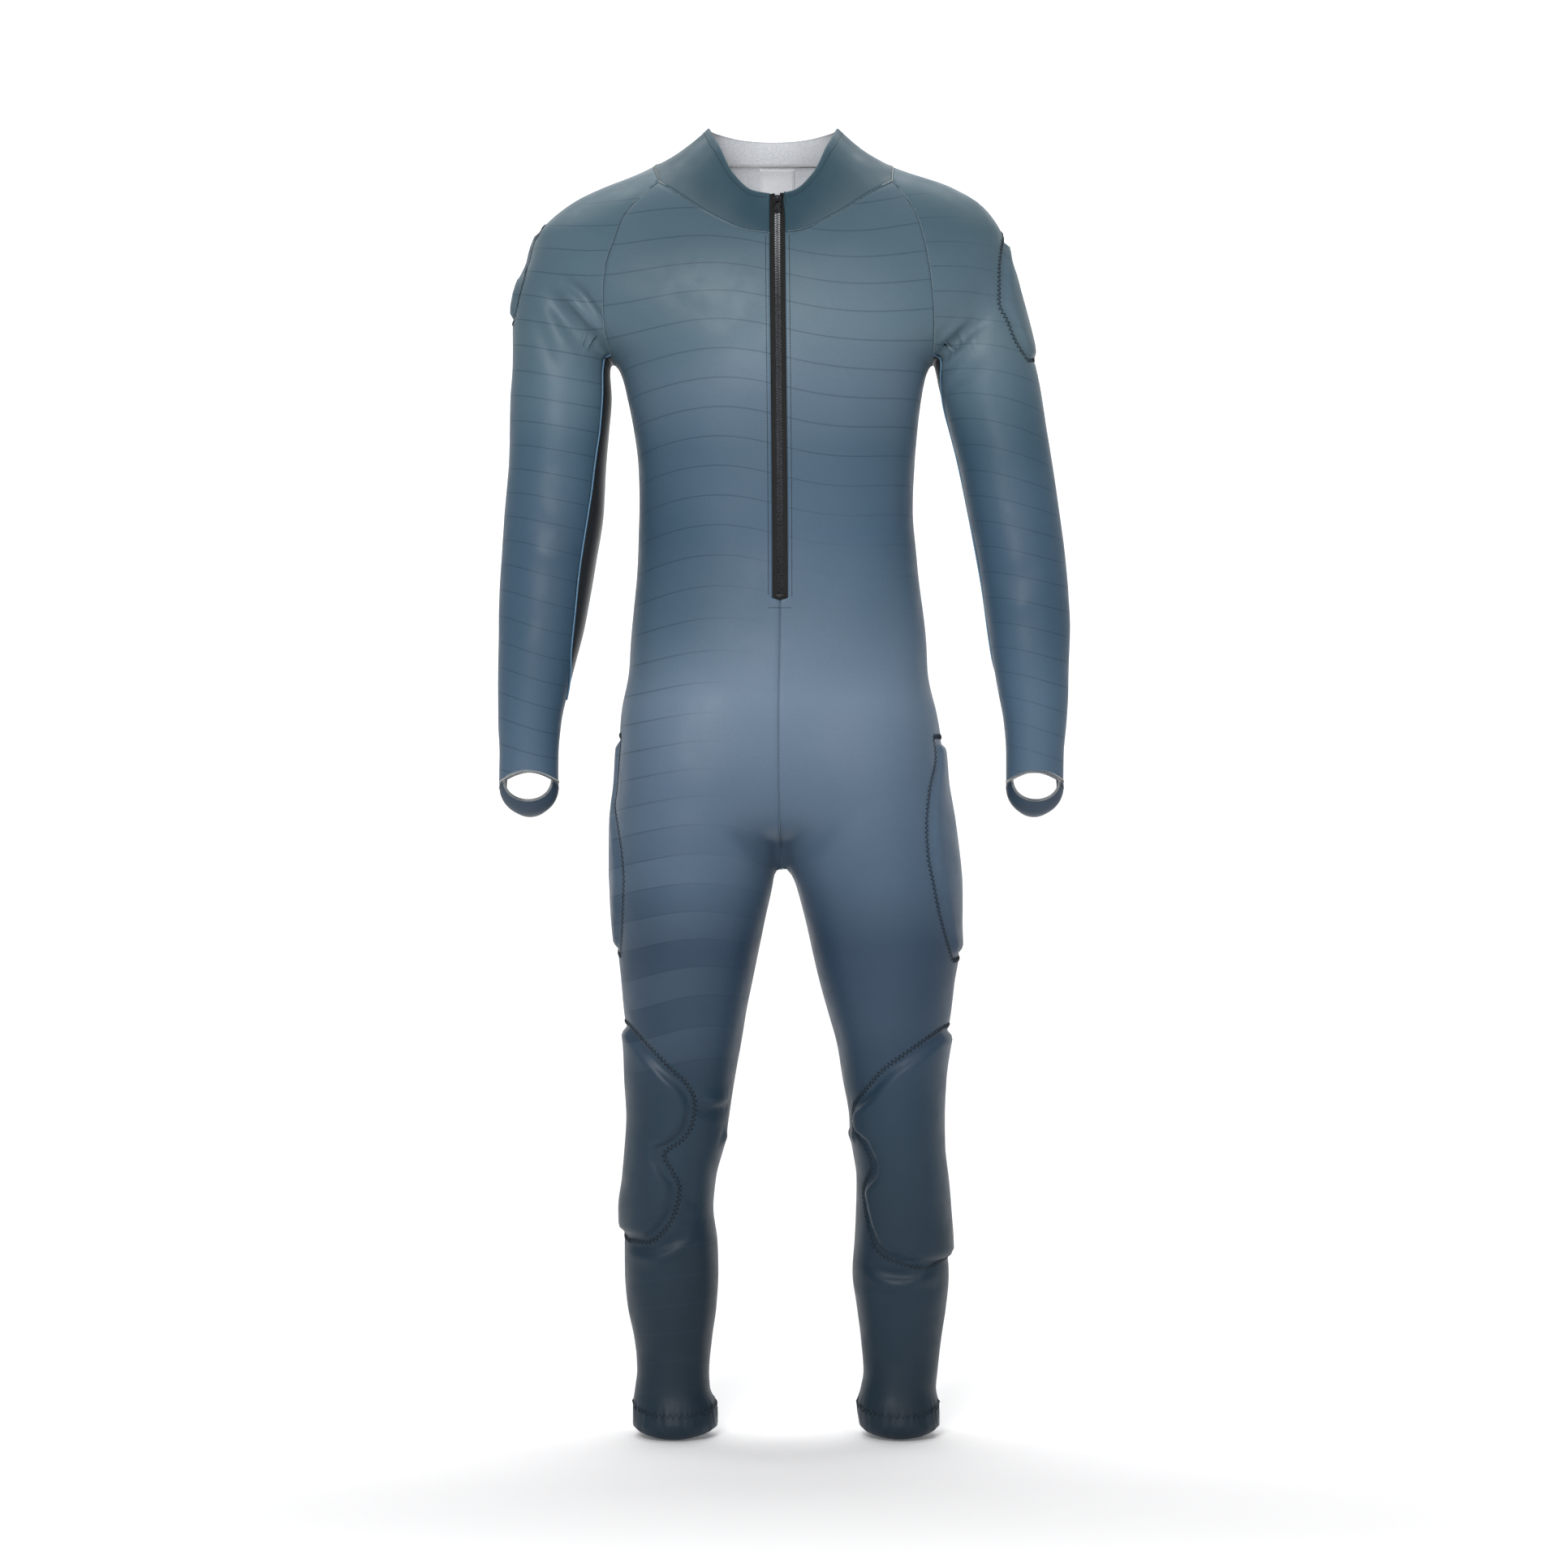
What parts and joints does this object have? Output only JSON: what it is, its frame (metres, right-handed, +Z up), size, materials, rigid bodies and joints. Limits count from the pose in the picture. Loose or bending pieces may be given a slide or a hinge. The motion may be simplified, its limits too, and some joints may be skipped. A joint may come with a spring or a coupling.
{
  "type": "ski race suit",
  "caption": "One-piece ski race suit with raglan sleeves, a front zip, a low collar, hand loops and padded hips, knees and shoulders.",
  "frame": {"origin": "the middle of the neck opening, level with the top of the shoulders, where the wearer holds the suit up", "axes": "+Z up along the body, the front faces -Y, the wearer's left is +X"},
  "size_m": [0.6387, 0.2326, 1.4707],
  "materials": {
    "shell_front": "satin stretch cloth, slate blue",
    "shell_back": "satin stretch cloth, slate blue",
    "shell_sleeve": "satin stretch cloth, teal slate",
    "underarm": "satin stretch cloth, black",
    "collar": "satin stretch cloth, dark teal",
    "loop": "satin stretch cloth with serged edges",
    "foam": "closed cell foam",
    "label": "white satin",
    "tape": "woven zip tape",
    "coil": "moulded coil",
    "metal": "dark coated metal"
  },
  "bodies": {
    "suit": {"front_right": "shell_front", "front_left": "shell_front", "back": "shell_back", "sleeve_right": "shell_sleeve", "sleeve_left": "shell_sleeve", "underarm_right": "underarm", "underarm_left": "underarm", "collar": "collar", "hand_loop_right": "loop", "hand_loop_left": "loop", "hip_pad_right": "foam", "knee_pad_right": "foam", "shoulder_pad_right": "foam", "hip_pad_left": "foam", "knee_pad_left": "foam", "shoulder_pad_left": "foam", "neck_label": "label", "zip_tape_right": "tape", "zip_tape_left": "tape", "zip_coil": "coil", "zip_slider": "metal", "zip_top_stop_right": "metal", "zip_top_stop_left": "metal", "zip_bottom_stop": "metal"},
    "pull": {"zip_pull": "metal"}
  },
  "joints": [
    {"name": "pull_hinge", "type": "hinge", "parent": "suit", "child": "pull", "pos_m": [0, -0.07986, -0.05091], "axis": [-1, 0, 0], "range_deg": [0, 150]}
  ]
}
